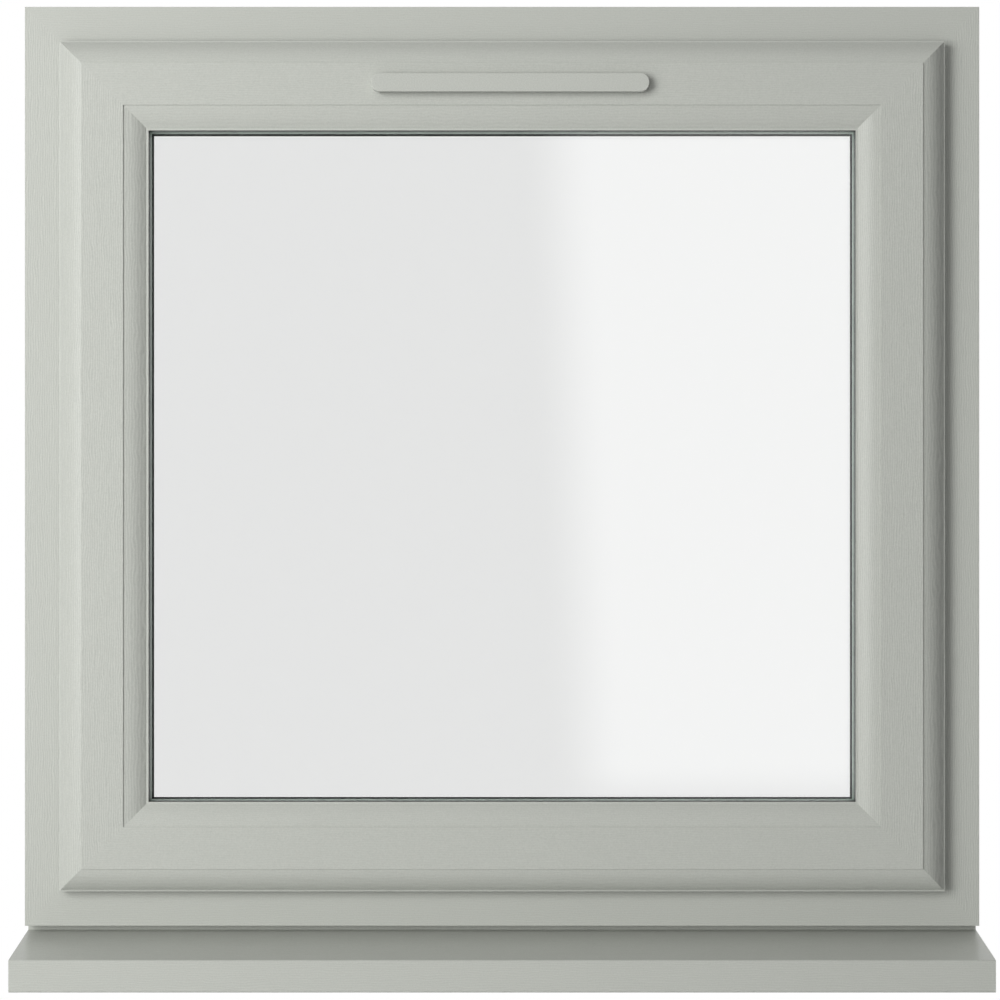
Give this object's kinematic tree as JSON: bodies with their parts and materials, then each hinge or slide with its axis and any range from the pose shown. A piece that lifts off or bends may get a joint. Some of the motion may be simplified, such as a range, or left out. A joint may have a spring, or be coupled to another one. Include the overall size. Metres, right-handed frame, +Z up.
{
  "type": "top-hung window",
  "caption": "Top-hung window with a mitred frame, a sculptured overlapping sash, clear double glazing, a trickle vent hood on the top rail and a projecting sill.",
  "frame": {"origin": "on the flat bed under the sill, at mid width, straight under the outside face of the frame", "axes": "+X to the right as seen from outside, +Y into the room, +Z up"},
  "size_m": [0.905, 0.1805, 0.9193],
  "materials": {
    "rail_profile": "satin foil with a fine grain along the rail",
    "stile_profile": "satin foil with a fine grain along the stile",
    "sill_profile": "satin foil with a fine grain along the sill",
    "vent_plastic": "smooth satin",
    "glass": "clear",
    "spacer": "matt",
    "seal": "matt",
    "handle_metal": "satin"
  },
  "bodies": {
    "root": {"frame_head": "rail_profile", "frame_bottom_rail": "rail_profile", "frame_left_jamb": "stile_profile", "frame_right_jamb": "stile_profile", "frame_seal": "seal", "sash_top_rail": "rail_profile", "sash_bottom_rail": "rail_profile", "sash_left_stile": "stile_profile", "sash_right_stile": "stile_profile", "sash_seal": "seal", "top_glazing_bead": "rail_profile", "bottom_glazing_bead": "rail_profile", "left_glazing_bead": "stile_profile", "right_glazing_bead": "stile_profile", "outer_pane": "glass", "inner_pane": "glass", "spacer_bar": "spacer", "edge_seal": "seal", "outer_glazing_gasket": "seal", "inner_glazing_gasket": "seal", "vent_hood": "vent_plastic", "vent_inner_body": "vent_plastic", "vent_shutter": "vent_plastic", "handle_base": "handle_metal", "handle_lever": "handle_metal", "sill": "sill_profile", "sill_left_end_cap": "sill_profile", "sill_right_end_cap": "sill_profile"}
  },
  "joints": []
}
